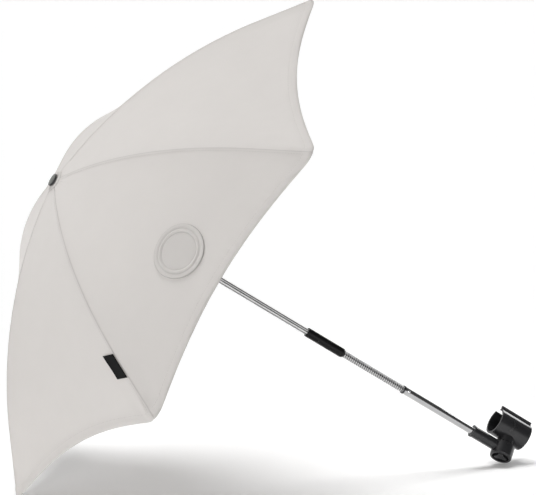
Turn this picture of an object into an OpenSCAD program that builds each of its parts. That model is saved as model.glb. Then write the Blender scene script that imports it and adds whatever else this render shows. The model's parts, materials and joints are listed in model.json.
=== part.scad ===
// Pram parasol: a six-rib folding canopy on a mast with a flexible neck, a swivelling arm and a clip clamp.
// Millimetres. The origin is the centre of the clamp's bore, and +Z runs beside the mast up to the canopy.

/* [Clamp] */
// Diameter of the frame tube that the clamp grips
clamp_bore = 31; // [28:0.5:34]
// Wall thickness of the clamp
clamp_wall = 2.6; // [2.2:0.1:3.4]
// Length of the clamp along the frame tube
clamp_len = 47; // [38:1:60]
// Angle of the opening between the two jaws
jaw_opening = 42; // [36:1:60]
// Height of the release lip above the near jaw
lip_height = 4.2; // [3.6:0.2:6]
// Thickness of the release lip
lip_t = 2; // [1.6:0.1:2.6]
// Diameter of the boss that carries the swivel
boss_d = 23; // [20:0.5:26]
// Height of the boss outside the clamp wall
boss_h = 3.9; // [3:0.1:6]
// Number of teeth on the detent ring
detent_teeth = 12; // [8:2:16]
// Height of the detent teeth
detent_h = 2.4; // [1.6:0.1:3.2]

/* [Swivel arm] */
// Distance from the frame tube's centre to the mast's axis
mast_offset = 31; // [29:0.5:34]
// Diameter of the swivel barrel
barrel_d = 29; // [27:0.5:33]
// Height of the swivel barrel
barrel_h = 18.8; // [17:0.2:24]
// Diameter of the tension knob
knob_d = 21.6; // [18:0.2:22]
// Outer diameter of the socket
socket_d = 15.2; // [13.6:0.2:17]
// Height of the socket's mouth above the pivot
socket_top = 51; // [40:1:70]
// Diameter of the pivot stud
stud_d = 5; // [4:0.5:6]

/* [Lower tube] */
// Outer diameter of the lower tube
tube_d = 9.8; // [8.8:0.2:11]
// Wall thickness of the lower tube
tube_wall = 0.8; // [0.6:0.1:1]
// Length of the lower tube
tube_len = 148; // [120:1:200]
// Diameter of the snap button
button_d = 4; // [3:0.2:4.6]
// Travel of the snap button
button_travel = 2; // [1.4:0.1:2]

/* [Neck] */
// Outer diameter of the flexible neck
neck_d = 8.5; // [7.4:0.1:8.8]
// Length of the neck between the lower tube and the sleeve
neck_len = 97; // [80:1:130]
// Pitch of the neck's ribs
neck_pitch = 2.1; // [1.8:0.1:3]

/* [Upper mast] */
// Outer diameter of the sleeve
sleeve_d = 12; // [11:0.2:14]
// Length of the sleeve
sleeve_len = 58; // [45:1:80]
// Outer diameter of the upper shaft
shaft_d = 8; // [7.2:0.2:8.4]
// Wall thickness of the upper shaft
shaft_wall = 0.6; // [0.5:0.1:0.8]
// Distance from the sleeve's mouth to the top of the canopy
shaft_len = 388; // [360:1:450]

/* [Canopy] */
// Radius of the circle through the rib tips
tip_r = 362; // [340:1:390]
// Slope of the cover at the crown
crown_slope = 5; // [4:0.5:7]
// Slope of the cover at the rim
rim_slope = 38; // [35:0.5:41]
// Radius that the ribs are bent to
rib_bend_r = 568; // [540:1:600]
// Thickness of the cover with its seams
cloth_t = 0.8; // [0.5:0.1:1]
// How far the hem curves in between two ribs, measured along a rib
hem_dip = 16; // [8:1:24]
// How far a panel sags at its middle
panel_sag = 3; // [0:0.5:8]
// Radius of the round patch that covers the panels' points
rosette_r = 14; // [12:0.5:18]
// Diameter of the top cap
cap_d = 16.6; // [14:0.2:20]
// Thickness of the top cap
cap_h = 3; // [2:0.2:5]
// Length of the label tab along its seam
label_len = 33; // [20:1:45]
// Width of the label tab
label_w = 13; // [8:1:20]
// Distance from the label tab's upper end in to the circle through the rib tips
label_to_tip = 76; // [50:1:200]

/* [Folding frame] */
// Width of a rib
rib_w = 2.4; // [2:0.1:2.6]
// Height of a rib
rib_h = 2.8; // [2.4:0.1:3.2]
// Radius of the wire rings that the ribs and stretchers hang on
ring_r = 9; // [8.8:0.1:10]
// Diameter of the two ring wires
wire_d = 1.2; // [1:0.1:1.4]
// Radius at which a stretcher meets its rib
joiner_r = 154; // [140:1:170]
// Thickness of a stretcher
stretcher_w = 1.8; // [1.4:0.1:2]
// Height of a stretcher
stretcher_h = 2.6; // [2.2:0.1:3]
// Length of the runner below its ring
runner_len = 65; // [55:1:80]

/* [Hidden] */
RIBS = 6;
function numbered(name) = [for (k = [1:RIBS]) str(name, "_", k)];
$fn = 64;

// Colours
black_plastic = [0.13, 0.13, 0.14];
chrome = [0.78, 0.79, 0.80];
steel = [0.55, 0.56, 0.58];
brass = [0.78, 0.64, 0.34];
cloth_grey = [0.84, 0.82, 0.80];
label_black = [0.09, 0.09, 0.10];
cap_grey = [0.40, 0.41, 0.39];

// Clearances: of a turning fit, of a seated piece, and of a piece that moves in a slot
fit_gap = 0.05;
seat_gap = 0.3;
slot_gap = 0.3;

// Clamp and swivel: distances are measured from the frame tube's centre along the pivot
clamp_r = clamp_bore / 2;
clamp_outer_r = clamp_r + clamp_wall;
jaw_half = jaw_opening / 2;
lip_bead_r = 1.8;
lip_bead_x = 0.6;
lip_flare_r = 2.6;
lip_inset = 0.2;
lip_step = 0.1;
boss_face = clamp_outer_r + boss_h;
boss_root = clamp_r - 2;
detent_top = boss_face + detent_h;
detent_inner_r = boss_d / 2 - 3.5;
barrel_top = detent_top + seat_gap;
barrel_end = barrel_top + barrel_h;
barrel_edge = 2;
stud_r = stud_d / 2;
stud_head_r = stud_r + 2;
stud_head_h = 1.6;
stud_head_z = clamp_r + 0.2;
dish_depth = 8;
dish_floor = barrel_end - dish_depth;
washer_h = 1.3;
knob_base = dish_floor + washer_h + seat_gap;
knob_disc_h = 2.4;
knob_end = barrel_end - 0.4;
knob_lobe_r = 3.4;
insert_r = stud_r + 1.5;
insert_h = 4.2;
stud_end = knob_base + insert_h - 0.4;
socket_r = socket_d / 2;
bead_h = 2.2;
bead_r = socket_r + 0.6;
tube_foot = barrel_d / 2 - 1.5;

// Heights of the mast's parts above the pivot
tube_top = tube_foot + tube_len;
collar_h = 2.5;
hose_foot = tube_top + collar_h;
sleeve_foot = tube_top + neck_len;
sleeve_top = sleeve_foot + sleeve_len;
apex_z = sleeve_top + shaft_len;

// Lower tube and snap button
tube_r = tube_d / 2;
tube_bore = tube_r - tube_wall;
plug_len = 33;
cavity_r = tube_bore - 1.3;
button_r = button_d / 2;
button_z = tube_top - 5;
button_az = -10;
button_tip = tube_r + 1.5;
button_back = 1.6;
leaf_t = 0.4;
leaf_w = 3;
leaf_len = 20;

// Neck: five lengths of hose with four bends between them
neck_crest = neck_d / 2;
neck_core = neck_crest - 0.7;
neck_bore = neck_core - 1.3;
neck_tuck = 8;
hose_len = sleeve_foot - hose_foot;
function bend_z(i) = hose_foot + hose_len * (i - 0.5) / 4;
function hose_start(k) = k == 1 ? hose_foot : bend_z(k - 1);
function hose_end(k) = k == 5 ? sleeve_foot : bend_z(k);

// Upper mast
shaft_r = shaft_d / 2;
shaft_bore = shaft_r - shaft_wall;
sleeve_r = sleeve_d / 2;
sleeve_chamfer = 2.4;
shaft_foot = sleeve_foot + neck_tuck + 0.5;

// Cover: one arc from the crown to near the rim, then straight, in the plane of each rib
bend_centre = [-rib_bend_r * sin(crown_slope), apex_z - rib_bend_r * cos(crown_slope)];
function arc_point(radius, angle) = bend_centre + radius * [cos(angle), sin(angle)];
arc_end = arc_point(rib_bend_r, 90 - rim_slope);
function skin_z(r) = r < arc_end[0]
    ? bend_centre[1] + sqrt(pow(rib_bend_r, 2) - pow(r - bend_centre[0], 2))
    : arc_end[1] - (r - arc_end[0]) * tan(rim_slope);
panel_start_r = 9.5;
seam_gap = 0.1;

// Ribs lie under the cover, and their pins lie under the ribs
rib_line = rib_bend_r - 2.9;
pin_line = rib_line - rib_h / 2 - 1.8;
function on_line(radius, r) = [r, bend_centre[1] + sqrt(pow(radius, 2) - pow(r - bend_centre[0], 2))];
crown_pin = on_line(pin_line, ring_r);
joiner_pin = on_line(pin_line, joiner_r);
stretcher_len = norm(joiner_pin - crown_pin);
runner_pin = [ring_r, 2 * joiner_pin[1] - crown_pin[1]];
stretcher_angle = atan2(joiner_pin[1] - runner_pin[1], joiner_pin[0] - runner_pin[0]);
wire_r = wire_d / 2;
wire_gap = 0.08;
eye_r = 1.9;
lug_r = 2.2;
rib_end = arc_point(rib_line, 90 - rim_slope);
rib_end_len = (tip_r - 3.5 - rib_end[0]) / cos(rim_slope);
rib_start_r = ring_r - 1.7;
tip_len = 10;
tip_wall = 0.8;
tip_drop = 0.4;
tenon_h = rib_h - 1.2;
tip_h = tenon_h + 2 * tip_wall;
tip_w = rib_w + 1;
tenon_gap = 0.03;
rivet_r = 0.9;
rivet_head_r = 1.7;
rivet_head_h = 0.6;
cheek_in = rib_w / 2 + slot_gap;
cheek_t = 1;
cheek_out = cheek_in + cheek_t;
fork_len = 12;

// Crown hub and runner
slot_w = rib_w + 2 * slot_gap;
runner_slot_w = stretcher_w + 2 * slot_gap + 0.2;
flange_r = ring_r + 2;
slot_floor_r = ring_r - eye_r - 0.25;
hub_core_r = slot_floor_r - 0.05;
hub_foot = crown_pin[1] - 12;
hub_top = apex_z - 0.7;
stem_r = 3;
runner_bore = shaft_r + 0.08;
runner_r = slot_floor_r - 0.2;
runner_rise = 6;
runner_grip_len = 15;
runner_grip_r = runner_r + 1.9;
stop_r = 1.2;
stop_z = runner_pin[1] + runner_rise + seat_gap + stop_r;
window_len = 30;
window_w = 4;
window_z = runner_pin[1] - 45;
nub_z = window_z + window_len - 5;
nub_r = 1.3;

// Cover patches
rosette_t = 0.6;
rosette_lift = 0.25;
cap_foot = apex_z + rosette_lift + rosette_t + 0.25;
label_r = tip_r - label_to_tip;
label_t = 0.8;
label_inset = 1;

module at_mast() translate([0, -mast_offset, 0]) children();
module on_pivot() rotate([90, 0, 0]) children();
module at_rib(k) at_mast() rotate([0, 0, (k - 1) * 360 / RIBS]) children();
module ring(outer, inner, h) difference() {
    cylinder(r = outer, h = h);
    translate([0, 0, -1]) cylinder(r = inner, h = h + 2);
}
module torus(radius, tube) rotate_extrude($fn = 96) translate([radius, 0]) circle(r = tube, $fn = 24);
module blade(w) rotate([90, 0, 0]) linear_extrude(w, center = true) children();

// Clip clamp with a release lip on its near jaw and a toothed boss
module jaw_profile() {
    mid_r = clamp_r + clamp_wall / 2;
    reach = 2 * clamp_bore;
    difference() {
        circle(r = clamp_outer_r, $fn = 128);
        polygon([[0, 0], reach * [-sin(jaw_half), cos(jaw_half)], reach * [sin(jaw_half), cos(jaw_half)]]);
    }
    for (side = [-1, 1]) rotate([0, 0, side * jaw_half])
        translate([0, mid_r]) circle(r = clamp_wall / 2 - lip_inset / 2);
    rotate([0, 0, -jaw_half]) lip_profile();
}

// The lip flares out of the jaw in a hollow curve and ends in a round bead
module lip_profile() {
    bead_z = clamp_outer_r + lip_height - lip_bead_r;
    flare_x = lip_inset + lip_t + lip_flare_r;
    flare_y = sqrt(pow(clamp_outer_r + lip_flare_r + lip_step, 2) - pow(flare_x, 2));
    foot_x = flare_x * clamp_outer_r / (clamp_outer_r + lip_flare_r);
    foot_y = clamp_outer_r - clamp_wall / 2;
    difference() {
        translate([lip_inset, foot_y]) square([foot_x - lip_inset, bead_z - foot_y]);
        translate([flare_x, flare_y]) circle(r = lip_flare_r);
        translate([flare_x - lip_flare_r, flare_y]) square(2 * lip_flare_r);
    }
    translate([lip_bead_x, bead_z]) circle(r = lip_bead_r);
}
module clamp_clip() color(black_plastic) difference() {
    union() {
        linear_extrude(clamp_len, center = true) jaw_profile();
        on_pivot() translate([0, 0, boss_root]) cylinder(d = boss_d, h = boss_face - boss_root);
        on_pivot() translate([0, 0, boss_face]) detent_ring();
    }
    cylinder(r = clamp_r, h = clamp_len + 2, center = true, $fn = 128);
    on_pivot() cylinder(r = stud_r + fit_gap, h = detent_top + 1);
    on_pivot() cylinder(r = stud_head_r + fit_gap, h = stud_head_z + stud_head_h);
}
module detent_ring() difference() {
    ring(boss_d / 2, detent_inner_r, detent_h);
    for (i = [0:detent_teeth / 2 - 1]) rotate([0, 0, (i + 0.5) * 360 / detent_teeth])
        translate([0, 0, detent_h / 2 + 0.4]) cube([boss_d + 2, 2.6, detent_h], center = true);
}
module pivot_stud() color(steel) on_pivot() {
    translate([0, 0, stud_head_z]) cylinder(r = stud_head_r, h = stud_head_h);
    translate([0, 0, stud_head_z]) cylinder(r = stud_r, h = stud_end - stud_head_z);
}

// Swivel arm: a barrel that turns on the stud, and the socket that holds the lower tube
module barrel_profile() {
    r = barrel_d / 2;
    translate([0, barrel_top]) square([r - 0.8, barrel_h]);
    translate([0, barrel_top + 0.8]) square([r, barrel_h - 0.8 - barrel_edge]);
    translate([r - 0.8, barrel_top + 0.8]) circle(r = 0.8);
    intersection() {
        translate([r - barrel_edge, barrel_end - barrel_edge]) circle(r = barrel_edge);
        translate([0, barrel_top]) square([r, barrel_h]);
    }
}
module swivel_arm() color(black_plastic) difference() {
    union() {
        on_pivot() rotate_extrude($fn = 128) barrel_profile();
        at_mast() cylinder(r = socket_r, h = socket_top);
        at_mast() translate([0, 0, socket_top - bead_h]) cylinder(r = bead_r, h = bead_h);
    }
    on_pivot() translate([0, 0, boss_face - 2]) cylinder(r = boss_d / 2 + 0.9, h = barrel_top - boss_face + 2);
    on_pivot() translate([0, 0, boss_face]) cylinder(r = stud_r + fit_gap, h = barrel_end);
    on_pivot() translate([0, 0, dish_floor]) cylinder(r = knob_d / 2 + 0.4, h = dish_depth + 1);
    at_mast() translate([0, 0, tube_foot]) cylinder(r = tube_r + fit_gap, h = socket_top);
}
module spring_washer() color(steel) on_pivot() translate([0, 0, dish_floor]) rotate_extrude()
    polygon([[stud_r + 0.2, 0.7], [7, 0], [7, washer_h - 0.7], [stud_r + 0.2, washer_h]]);
module tension_knob() color(black_plastic) on_pivot() difference() {
    union() {
        translate([0, 0, knob_base]) cylinder(d = knob_d, h = knob_disc_h);
        translate([0, 0, knob_base]) cylinder(r = insert_r + 1.4, h = knob_end - knob_base);
        for (i = [0:2]) rotate([0, 0, 30 + i * 120]) {
            translate([knob_d / 2 - knob_lobe_r - 1.6, 0, knob_base]) cylinder(r = knob_lobe_r, h = knob_end - knob_base);
            translate([0, -knob_lobe_r, knob_base])
                cube([knob_d / 2 - knob_lobe_r - 1.6, 2 * knob_lobe_r, knob_end - knob_base]);
        }
    }
    translate([0, 0, knob_base - 1]) cylinder(r = insert_r + fit_gap, h = insert_h + 1.1);
}
module knob_insert() color(brass) on_pivot() translate([0, 0, knob_base])
    ring(insert_r, stud_r + fit_gap, insert_h);

// Lower tube, its collar and the snap button
module toward_button() rotate([0, 0, button_az]) rotate([0, 90, 0]) children();
module lower_tube() color(chrome) at_mast() difference() {
    translate([0, 0, tube_foot + 0.3]) ring(tube_r, tube_bore, tube_len - 0.3);
    translate([0, 0, button_z]) toward_button() cylinder(r = button_r + 0.12, h = tube_r + 2);
}
module tube_collar() color(black_plastic) at_mast() difference() {
    union() {
        translate([0, 0, tube_top - plug_len]) cylinder(r = tube_bore - fit_gap, h = plug_len);
        translate([0, 0, tube_top]) cylinder(r = tube_r + 0.5, h = collar_h);
    }
    translate([0, 0, tube_top - plug_len + 3]) cylinder(r = cavity_r, h = plug_len - 4.5);
    translate([0, 0, button_z]) toward_button() cylinder(r = button_r + 0.08, h = tube_r);
}
module snap_button() color(chrome) at_mast() translate([0, 0, button_z]) toward_button() intersection() {
    translate([0, 0, button_back]) cylinder(r = button_r, h = button_tip);
    translate([0, 0, button_tip - 2 * button_r]) sphere(r = 2 * button_r);
}
module button_spring() color(steel) at_mast() rotate([0, 0, button_az]) {
    foot_z = button_z + 2 - leaf_len;
    leaf_x = button_back - 0.1 - leaf_t;
    back_x = -(cavity_r - 0.7);
    translate([leaf_x, -leaf_w / 2, foot_z]) cube([leaf_t, leaf_w, leaf_len]);
    translate([back_x, -leaf_w / 2, foot_z]) cube([leaf_t, leaf_w, leaf_len]);
    translate([back_x, -leaf_w / 2, foot_z]) cube([leaf_x - back_x + leaf_t, leaf_w, leaf_t]);
}

// One length of the ribbed metal hose
function rib_steps(z, core) = [
    [core, z - neck_pitch * 0.36], [neck_crest, z - neck_pitch * 0.16],
    [neck_crest, z + neck_pitch * 0.16], [core, z + neck_pitch * 0.36]
];
module hose(k) color(chrome) at_mast() {
    start = hose_start(k);
    end = hose_end(k);
    count = floor((end - start) / neck_pitch);
    step = (end - start) / count;
    tail = k == 5 ? neck_tuck : 0;
    steps = [for (i = [0:count - 1]) each rib_steps(start + (i + 0.5) * step, neck_core)];
    rotate_extrude($fn = 48) polygon(concat(
        [[neck_bore, start], [neck_core, start]], steps,
        [[neck_core, end + tail], [neck_bore, end + tail]]
    ));
}

// Upper mast
module grip_sleeve() color(black_plastic) at_mast() difference() {
    rotate_extrude($fn = 96) union() {
        polygon([
            [0, sleeve_foot], [sleeve_r - 1.2, sleeve_foot], [sleeve_r, sleeve_foot + sleeve_chamfer],
            [sleeve_r, sleeve_top - 0.6], [0, sleeve_top - 0.6]
        ]);
        translate([0, sleeve_top - 1]) square([sleeve_r - 0.6, 1]);
        translate([sleeve_r - 0.6, sleeve_top - 0.6]) circle(r = 0.6);
    }
    translate([0, 0, sleeve_foot - 1]) cylinder(r = neck_core + 0.3, h = neck_tuck + 1.2);
    translate([0, 0, sleeve_foot]) cylinder(r = shaft_r + fit_gap, h = sleeve_len + 1);
}
module upper_shaft() color(chrome) at_mast() difference() {
    translate([0, 0, shaft_foot]) ring(shaft_r, shaft_bore, hub_top - 3.3 - shaft_foot);
    translate([0, 0, stop_z]) rotate([90, 0, 0]) cylinder(r = stop_r + fit_gap, h = 3 * shaft_r, center = true);
    translate([0, 0, nub_z]) rotate([0, 90, 0]) cylinder(r = nub_r + 0.3, h = 2 * shaft_r);
}
module stop_pin() color(steel) at_mast() translate([0, 0, stop_z]) rotate([90, 0, 0])
    cylinder(r = stop_r, h = shaft_d + 4, center = true);

// Crown: a slotted hub, and the wire that the ribs turn on
module slotted_flange(z, low, high, w) difference() {
    translate([0, 0, z - low]) cylinder(r = flange_r, h = low + high);
    for (k = [0:RIBS - 1]) rotate([0, 0, k * 360 / RIBS])
        translate([slot_floor_r, -w / 2, z - low - 1]) cube([flange_r, w, low + high + 2]);
}
module crown_hub() color(black_plastic) at_mast() difference() {
    union() {
        translate([0, 0, hub_foot]) cylinder(r = hub_core_r, h = hub_top - hub_foot);
        slotted_flange(crown_pin[1], 2.2, 2, slot_w);
    }
    translate([0, 0, hub_foot - 1]) cylinder(r = shaft_r + fit_gap, h = hub_top - 3 - hub_foot + 1);
    translate([0, 0, hub_foot]) cylinder(r = stem_r + fit_gap, h = hub_top);
    translate([0, 0, crown_pin[1]]) torus(ring_r, wire_r + wire_gap);
}
module crown_wire() color(steel) at_mast() translate([0, 0, crown_pin[1]]) torus(ring_r, wire_r);
module top_cap() at_mast() {
    color(black_plastic) translate([0, 0, cap_foot]) cylinder(d = cap_d, h = cap_h - 1);
    color(cap_grey) intersection() {
        translate([0, 0, cap_foot + cap_h - 1]) cylinder(d1 = cap_d, d2 = cap_d - 2, h = 1);
        translate([0, 0, cap_foot + cap_h - 30]) sphere(r = 30, $fn = 128);
    }
    color(black_plastic) translate([0, 0, hub_foot]) cylinder(r = stem_r, h = cap_foot - hub_foot + 0.5);
}
module crown_rosette() color(cloth_grey) at_mast() difference() {
    rotate_extrude() polygon([
        [0, skin_z(0) + rosette_lift], [rosette_r, skin_z(rosette_r) + rosette_lift],
        [rosette_r, skin_z(rosette_r) + rosette_lift + rosette_t], [0, skin_z(0) + rosette_lift + rosette_t]
    ]);
    translate([0, 0, apex_z - 5]) cylinder(r = stem_r + 0.3, h = 10);
}

// Runner: slides on the shaft, and the stretchers turn on its wire
module runner() color(black_plastic) at_mast() difference() {
    union() {
        translate([0, 0, runner_pin[1] - runner_len]) cylinder(r = runner_r, h = runner_len + runner_rise);
        translate([0, 0, runner_pin[1] - runner_len]) cylinder(r = runner_grip_r, h = runner_grip_len);
        slotted_flange(runner_pin[1], 3, 3, runner_slot_w);
    }
    translate([0, 0, runner_pin[1] - runner_len - 1])
        cylinder(r = runner_bore, h = runner_len + runner_rise + 2);
    translate([0, -window_w / 2, window_z]) cube([flange_r, window_w, window_len]);
    translate([0, 0, runner_pin[1]]) torus(ring_r, wire_r + wire_gap);
    for (i = [0:3]) translate([0, 0, runner_pin[1] - runner_len + 3 + 3 * i]) torus(runner_grip_r + 0.4, 1);
}
module runner_wire() color(steel) at_mast() translate([0, 0, runner_pin[1]]) torus(ring_r, wire_r);
module detent_spring() color(steel) at_mast() {
    leaf_x = runner_bore + 0.5;
    translate([leaf_x, -1.6, window_z + 0.2]) cube([0.5, 3.2, window_len - 0.4]);
    translate([shaft_bore, 0, nub_z]) rotate([0, 90, 0]) cylinder(r = nub_r, h = leaf_x + 0.2 - shaft_bore);
}

// Ribs: steel blades bent to the cover's arc, with an eye at the crown and a lug for the stretcher
module rib_profile() {
    bar(rib_h);
    translate([crown_pin[0] - eye_r, crown_pin[1]]) square([2 * eye_r, 3]);
    translate(crown_pin) circle(r = eye_r);
    translate(joiner_pin) circle(r = lug_r);
    translate(joiner_pin) rotate(-atan2(joiner_pin[0] - bend_centre[0], joiner_pin[1] - bend_centre[1]))
        translate([-lug_r, 0]) square([2 * lug_r, 3]);
}
module bar(h) {
    intersection() {
        translate(bend_centre) difference() {
            circle(r = rib_line + h / 2, $fn = 720);
            circle(r = rib_line - h / 2, $fn = 720);
        }
        polygon([
            [rib_start_r, apex_z - 20], [rib_start_r, apex_z + 20],
            arc_point(rib_line + 60, 90 - rim_slope), arc_point(rib_line - 20, 90 - rim_slope)
        ]);
    }
    translate(rib_end) rotate(-rim_slope) {
        translate([-fit_gap, -h / 2]) square([rib_end_len - tip_len + fit_gap, h]);
        translate([rib_end_len - tip_len - fit_gap, -tip_drop - tenon_h / 2]) square([tip_len + fit_gap, tenon_h]);
    }
}
module rib(k) color(steel) at_rib(k) blade(rib_w) difference() {
    rib_profile();
    translate(crown_pin) circle(r = wire_r + wire_gap, $fn = 24);
    translate(joiner_pin) circle(r = rivet_r + 0.03, $fn = 32);
}
module rib_tip(k) color(black_plastic) at_rib(k) difference() {
    blade(tip_w) at_rib_end() {
        translate([-tip_len + fit_gap, -tip_h / 2]) square([tip_len + tip_wall, tip_h]);
        translate([tip_wall, 0]) circle(d = tip_h);
    }
    blade(rib_w + 2 * tenon_gap) at_rib_end()
        translate([-2 * tip_len, -tenon_h / 2 - tenon_gap]) square([2 * tip_len + tenon_gap, tenon_h + 2 * tenon_gap]);
}
module at_rib_end() translate(rib_end) rotate(-rim_slope) translate([rib_end_len, -tip_drop]) children();
module joiner_rivet(k) color(chrome) at_rib(k) translate([joiner_pin[0], 0, joiner_pin[1]]) rotate([90, 0, 0]) {
    grip = cheek_out + 0.12;
    cylinder(r = rivet_r, h = 2 * grip + 0.2, center = true, $fn = 32);
    for (side = [0, 180]) rotate([side, 0, 0]) translate([0, 0, grip])
        cylinder(r1 = rivet_head_r, r2 = rivet_head_r - 0.5, h = rivet_head_h, $fn = 32);
}

// Stretchers: a flat blade with an eye on the runner's wire and a fork over the rib's lug
module stretcher(k) color(steel) at_rib(k) translate([runner_pin[0], 0, runner_pin[1]])
    rotate([0, -stretcher_angle, 0]) {
        fork_x = stretcher_len - fork_len;
        blade(stretcher_w) difference() {
            union() {
                translate([0, -stretcher_h / 2]) square([fork_x - 1, stretcher_h]);
                circle(r = eye_r);
            }
            circle(r = wire_r + wire_gap, $fn = 24);
        }
        blade(2 * cheek_out) translate([fork_x - 3, -stretcher_h / 2]) square([3, stretcher_h]);
        for (side = [-1, 1]) translate([0, side * (cheek_in + cheek_t / 2), 0]) blade(cheek_t) difference() {
            union() {
                translate([fork_x - 1, -stretcher_h / 2]) square([fork_len + 1, stretcher_h]);
                translate([stretcher_len, 0]) circle(r = eye_r);
            }
            translate([stretcher_len, 0]) circle(r = rivet_r + 0.08, $fn = 32);
        }
    }

// Cover: six panels. s runs from the crown to the hem, and t across a panel from one rib to the next
function rib_radius(s, t) = panel_start_r + s * (tip_r - hem_dip * (1 - t * t) - panel_start_r);
function panel_point(s, t, lift) = let (
    r = rib_radius(s, t),
    half = r * sin(180 / RIBS) - seam_gap / 2,
    sag = panel_sag * (1 - t * t) * sin(150 * s)
) [r * cos(180 / RIBS) - sag * sin(rim_slope * s), half * t, skin_z(r) - sag * cos(rim_slope * s) + lift];
function patch_faces(n, m) = let (w = m + 1, low = (n + 1) * (m + 1)) concat(
    [for (i = [0:n - 1], j = [0:m - 1]) each let (a = i * w + j, b = a + w) [[a, a + 1, b + 1], [a, b + 1, b]]],
    [for (i = [0:n - 1], j = [0:m - 1]) each let (a = low + i * w + j, b = a + w) [[a, b + 1, a + 1], [a, b, b + 1]]],
    [for (i = [0:n - 1]) each let (a = i * w, b = a + w) [[a, b, b + low], [a, b + low, a + low]]],
    [for (i = [0:n - 1]) each let (a = i * w + m, b = a + w) [[a, b + low, b], [a, a + low, b + low]]],
    [for (j = [0:m - 1]) [j, j + 1 + low, j + 1]],
    [for (j = [0:m - 1]) [j, j + low, j + 1 + low]],
    [for (j = [0:m - 1]) let (a = n * w + j) [a, a + 1, a + 1 + low]],
    [for (j = [0:m - 1]) let (a = n * w + j) [a, a + 1 + low, a + low]]
);
module panel_patch(s0, s1, t0, t1, n, m, low, high) polyhedron(
    points = [
        for (lift = [high, low], i = [0:n], j = [0:m])
            panel_point(s0 + (s1 - s0) * i / n, t0 + (t1 - t0) * j / m, lift)
    ],
    faces = patch_faces(n, m)
);
module on_panel(k) at_rib(k) rotate([0, 0, 180 / RIBS]) children();
module panel(k) color(cloth_grey) on_panel(k) panel_patch(0, 1, -1, 1, 14, 8, -cloth_t, 0);

// Label tab: sewn into the seam of the sixth rib, on the fifth panel
function seam_s(r) = (r - panel_start_r) / (tip_r - panel_start_r);
module label_tab() color(label_black) on_panel(5) {
    s0 = seam_s(label_r);
    s1 = seam_s(label_r + label_len * cos(rim_slope));
    half = label_r * sin(180 / RIBS);
    panel_patch(s0, s1, 1 - (label_inset + label_w) / half, 1 - label_inset / half, 4, 3, 0.3, 0.3 + label_t);
}

clamp_clip();
pivot_stud();
swivel_arm();
spring_washer();
tension_knob();
knob_insert();
lower_tube();
tube_collar();
snap_button();
button_spring();
for (k = [1:5]) hose(k);
grip_sleeve();
upper_shaft();
crown_hub();
crown_wire();
top_cap();
crown_rosette();
runner();
runner_wire();
detent_spring();
stop_pin();
for (k = [1:RIBS]) rib(k);
for (k = [1:RIBS]) rib_tip(k);
for (k = [1:RIBS]) joiner_rivet(k);
for (k = [1:RIBS]) stretcher(k);
for (k = [1:RIBS]) panel(k);
label_tab();
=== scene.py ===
# Looks of a pram parasol: grey cloth canopy on steel ribs, bright mast, flexible neck, black clamp
import json
import math

import bpy
import numpy as np
from mathutils import Matrix, Vector, noise

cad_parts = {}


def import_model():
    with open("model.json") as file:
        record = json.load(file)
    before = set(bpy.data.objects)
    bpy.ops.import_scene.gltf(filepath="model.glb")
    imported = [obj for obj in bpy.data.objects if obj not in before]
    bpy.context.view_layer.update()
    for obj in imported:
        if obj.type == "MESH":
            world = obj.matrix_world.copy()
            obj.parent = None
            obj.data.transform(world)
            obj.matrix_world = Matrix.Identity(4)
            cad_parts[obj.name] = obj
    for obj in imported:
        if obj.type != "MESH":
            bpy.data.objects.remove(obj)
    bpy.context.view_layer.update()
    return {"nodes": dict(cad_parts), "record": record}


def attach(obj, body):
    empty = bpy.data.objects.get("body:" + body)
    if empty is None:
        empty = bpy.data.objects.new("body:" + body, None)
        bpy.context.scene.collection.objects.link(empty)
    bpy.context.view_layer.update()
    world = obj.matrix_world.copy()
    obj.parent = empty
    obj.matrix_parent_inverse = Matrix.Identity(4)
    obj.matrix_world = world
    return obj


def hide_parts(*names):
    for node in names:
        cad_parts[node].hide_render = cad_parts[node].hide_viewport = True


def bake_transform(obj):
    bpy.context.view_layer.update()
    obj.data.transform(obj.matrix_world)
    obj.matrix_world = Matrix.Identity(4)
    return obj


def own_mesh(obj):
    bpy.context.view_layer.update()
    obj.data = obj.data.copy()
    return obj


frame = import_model()
MM = 0.001
RIBS = 6
TURN = 360 // RIBS
HALF_SIN = math.sin(math.pi / RIBS)
HALF_COS = math.cos(math.pi / RIBS)

# Sizes repeated from the CAD source, in metres
MAST = np.array([0.0, -0.031, 0.0])
APEX = 0.704
BEND_R = 0.568
CROWN_SLOPE = math.radians(5)
RIM_SLOPE = math.radians(38)
TIP_R = 0.362
HEM_DIP = 0.016
SAG = 0.003
SAG_SPAN = 150
CORNER = 0.0062
BLUNT = 0.0009
PANEL_START = 0.0095
ROSETTE_R = 0.014
HOSE_FOOT = 0.1635
SLEEVE_FOOT = 0.258
SHAFT_R = 0.004
SHAFT_FOOT = 0.2665
SHAFT_TOP = 0.6995
CENTRE = np.array([-BEND_R * math.sin(CROWN_SLOPE), APEX - BEND_R * math.cos(CROWN_SLOPE)])
ARC_END = CENTRE + BEND_R * np.array([math.sin(RIM_SLOPE), math.cos(RIM_SLOPE)])

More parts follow.
